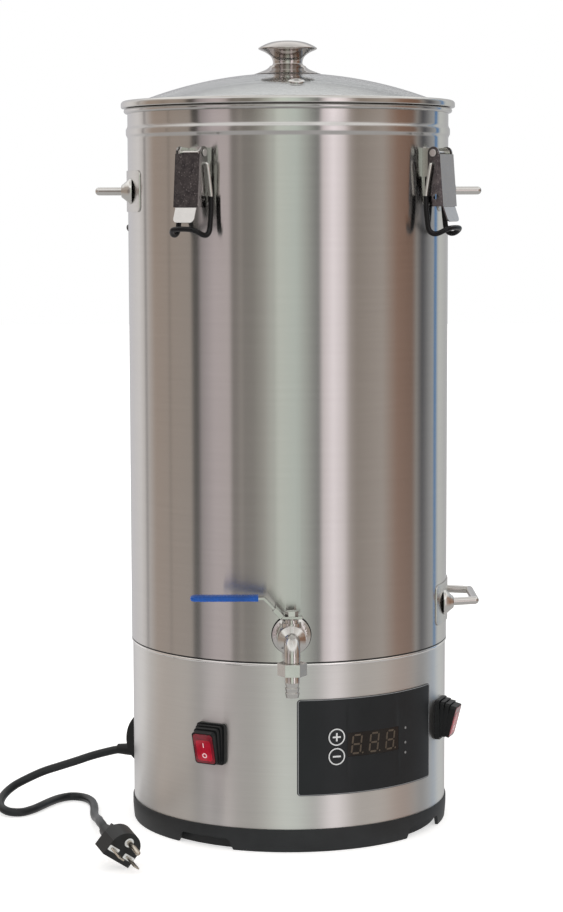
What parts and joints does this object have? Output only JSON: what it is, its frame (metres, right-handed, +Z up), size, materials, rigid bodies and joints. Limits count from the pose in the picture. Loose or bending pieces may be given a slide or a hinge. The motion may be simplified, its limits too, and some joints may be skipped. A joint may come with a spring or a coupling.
{
  "type": "brew kettle",
  "caption": "Tall electric brew kettle: lidded steel tank on a heater base, with side latches, lifting handles, a lever drain valve, controls and a mains cord.",
  "frame": {"origin": "centre of the base ring on the bench, on the tank's axis", "axes": "+Z up along the tank's axis, -Y to the drain valve's side, +X to the right seen from the valve"},
  "size_m": [0.471, 0.3847, 0.7344],
  "materials": {
    "glass": "clear tempered glass",
    "polished_steel": "polished sheet and wire",
    "brushed_steel": "satin, grain runs round the wall",
    "chrome": "bright",
    "valve_steel": "cast and machined, satin",
    "fastener_steel": "plain bright",
    "heater_steel": "oxidised tube",
    "black_plastic": "fine moulded texture",
    "black_rubber": "semi-gloss",
    "silicone": "translucent white",
    "white_plastic": "smooth",
    "blue_vinyl": "dipped vinyl, glossy",
    "panel_film": "printed film",
    "display_window": "tinted window",
    "circuit_board": "solder mask",
    "red_lens": "translucent, moulded marks",
    "reset_red": "smooth",
    "cord_rubber": "satin",
    "plug_metal": "nickel-tinted"
  },
  "bodies": {
    "kettle": {"tank": "brushed_steel", "base_skirt": "brushed_steel", "base_pan": "black_plastic", "bottom_screws": "fastener_steel", "handle_plates": "polished_steel", "upper_left_handle": "polished_steel", "upper_right_handle": "polished_steel", "lower_handle": "polished_steel", "latch_brackets": "polished_steel", "latch_pins": "polished_steel", "valve_washers": "silicone", "valve_back_nut": "valve_steel", "valve_body": "valve_steel", "ball_seats": "white_plastic", "union_nut": "valve_steel", "hose_barb": "valve_steel", "panel_overlay": "panel_film", "control_housing": "black_plastic", "control_board": "circuit_board", "display": "display_window", "left_switch_body": "black_plastic", "left_switch_boot": "black_rubber", "right_switch_body": "black_plastic", "right_switch_boot": "black_rubber", "cord_gland": "black_plastic", "power_cord": "cord_rubber", "plug_body": "cord_rubber", "plug_pins": "plug_metal", "heating_elements": "heater_steel", "thermal_cutout": "black_plastic", "temperature_probe": "fastener_steel"},
    "lid": {"lid_glass": "glass", "lid_rim": "polished_steel", "lid_knob": "chrome", "lid_knob_base": "chrome", "lid_knob_screw": "chrome", "steam_vent_eyelet": "polished_steel"},
    "valve_handle": {"valve_lever": "fastener_steel", "lever_sleeve": "blue_vinyl", "valve_stem": "fastener_steel", "stem_nut": "fastener_steel", "valve_ball": "chrome"},
    "lever_lock": {"lever_lock": "fastener_steel"},
    "latch_lever_1": {"latch_lever_1": "polished_steel"},
    "latch_bail_1": {"latch_bail_1": "polished_steel", "latch_grip_1": "black_rubber"},
    "latch_lever_2": {"latch_lever_2": "polished_steel"},
    "latch_bail_2": {"latch_bail_2": "polished_steel", "latch_grip_2": "black_rubber"},
    "latch_lever_3": {"latch_lever_3": "polished_steel"},
    "latch_bail_3": {"latch_bail_3": "polished_steel", "latch_grip_3": "black_rubber"},
    "latch_lever_4": {"latch_lever_4": "polished_steel"},
    "latch_bail_4": {"latch_bail_4": "polished_steel", "latch_grip_4": "black_rubber"},
    "left_rocker": {"left_rocker": "red_lens"},
    "right_rocker": {"right_rocker": "red_lens"},
    "plus_button": {"plus_button": "panel_film"},
    "minus_button": {"minus_button": "panel_film"},
    "reset_button": {"reset_button": "reset_red"}
  },
  "joints": [
    {"name": "lid_lift", "type": "slide", "parent": "kettle", "child": "lid", "axis": [0, 0, 1], "range_m": [0, 0.00025]},
    {"name": "valve_turn", "type": "hinge", "parent": "kettle", "child": "valve_handle", "pos_m": [0, -0.167, 0.2], "axis": [0, 0, 1], "range_deg": [0, 90]},
    {"name": "lever_lock_slide", "type": "slide", "parent": "valve_handle", "child": "lever_lock", "axis": [-0.7009, 0, 0.7133], "range_m": [0, 0.0065]},
    {"name": "latch_lever_1_turn", "type": "hinge", "parent": "kettle", "child": "latch_lever_1", "pos_m": [-0.08677, -0.13621, 0.6285], "axis": [-0.8434, 0.5373, 0], "range_deg": [0, 90]},
    {"name": "latch_bail_1_turn", "type": "hinge", "parent": "latch_lever_1", "child": "latch_bail_1", "pos_m": [-0.08624, -0.13536, 0.619], "axis": [-0.8434, 0.5373, 0], "range_deg": [0, 75]},
    {"name": "latch_lever_2_turn", "type": "hinge", "parent": "kettle", "child": "latch_lever_2", "pos_m": [0.13621, -0.08677, 0.6285], "axis": [-0.5373, -0.8434, 0], "range_deg": [0, 90]},
    {"name": "latch_bail_2_turn", "type": "hinge", "parent": "latch_lever_2", "child": "latch_bail_2", "pos_m": [0.13536, -0.08624, 0.619], "axis": [-0.5373, -0.8434, 0], "range_deg": [0, 75]},
    {"name": "latch_lever_3_turn", "type": "hinge", "parent": "kettle", "child": "latch_lever_3", "pos_m": [0.08677, 0.13621, 0.6285], "axis": [0.8434, -0.5373, 0], "range_deg": [0, 90]},
    {"name": "latch_bail_3_turn", "type": "hinge", "parent": "latch_lever_3", "child": "latch_bail_3", "pos_m": [0.08624, 0.13536, 0.619], "axis": [0.8434, -0.5373, 0], "range_deg": [0, 75]},
    {"name": "latch_lever_4_turn", "type": "hinge", "parent": "kettle", "child": "latch_lever_4", "pos_m": [-0.13621, 0.08677, 0.6285], "axis": [0.5373, 0.8434, 0], "range_deg": [0, 90]},
    {"name": "latch_bail_4_turn", "type": "hinge", "parent": "latch_lever_4", "child": "latch_bail_4", "pos_m": [-0.13536, 0.08624, 0.619], "axis": [0.5373, 0.8434, 0], "range_deg": [0, 75]},
    {"name": "left_rocker_tilt", "type": "hinge", "parent": "kettle", "child": "left_rocker", "pos_m": [-0.07444, -0.13596, 0.0973], "axis": [-0.8771, 0.4802, 0], "range_deg": [0, 28], "deforming": ["left_switch_boot"]},
    {"name": "right_rocker_tilt", "type": "hinge", "parent": "kettle", "child": "right_rocker", "pos_m": [0.14611, -0.05174, 0.1024], "axis": [-0.3338, -0.9426, 0], "range_deg": [0, 28], "deforming": ["right_switch_boot"]},
    {"name": "plus_button_press", "type": "slide", "parent": "kettle", "child": "plus_button", "axis": [-0.2723, 0.9622, 0], "range_m": [0, 0.0006], "stiffness_N_per_m": 2000},
    {"name": "minus_button_press", "type": "slide", "parent": "kettle", "child": "minus_button", "axis": [-0.2723, 0.9622, 0], "range_m": [0, 0.0006], "stiffness_N_per_m": 2000},
    {"name": "reset_button_press", "type": "slide", "parent": "kettle", "child": "reset_button", "axis": [0, 0, 1], "range_m": [0, 0.0015], "stiffness_N_per_m": 1500}
  ]
}
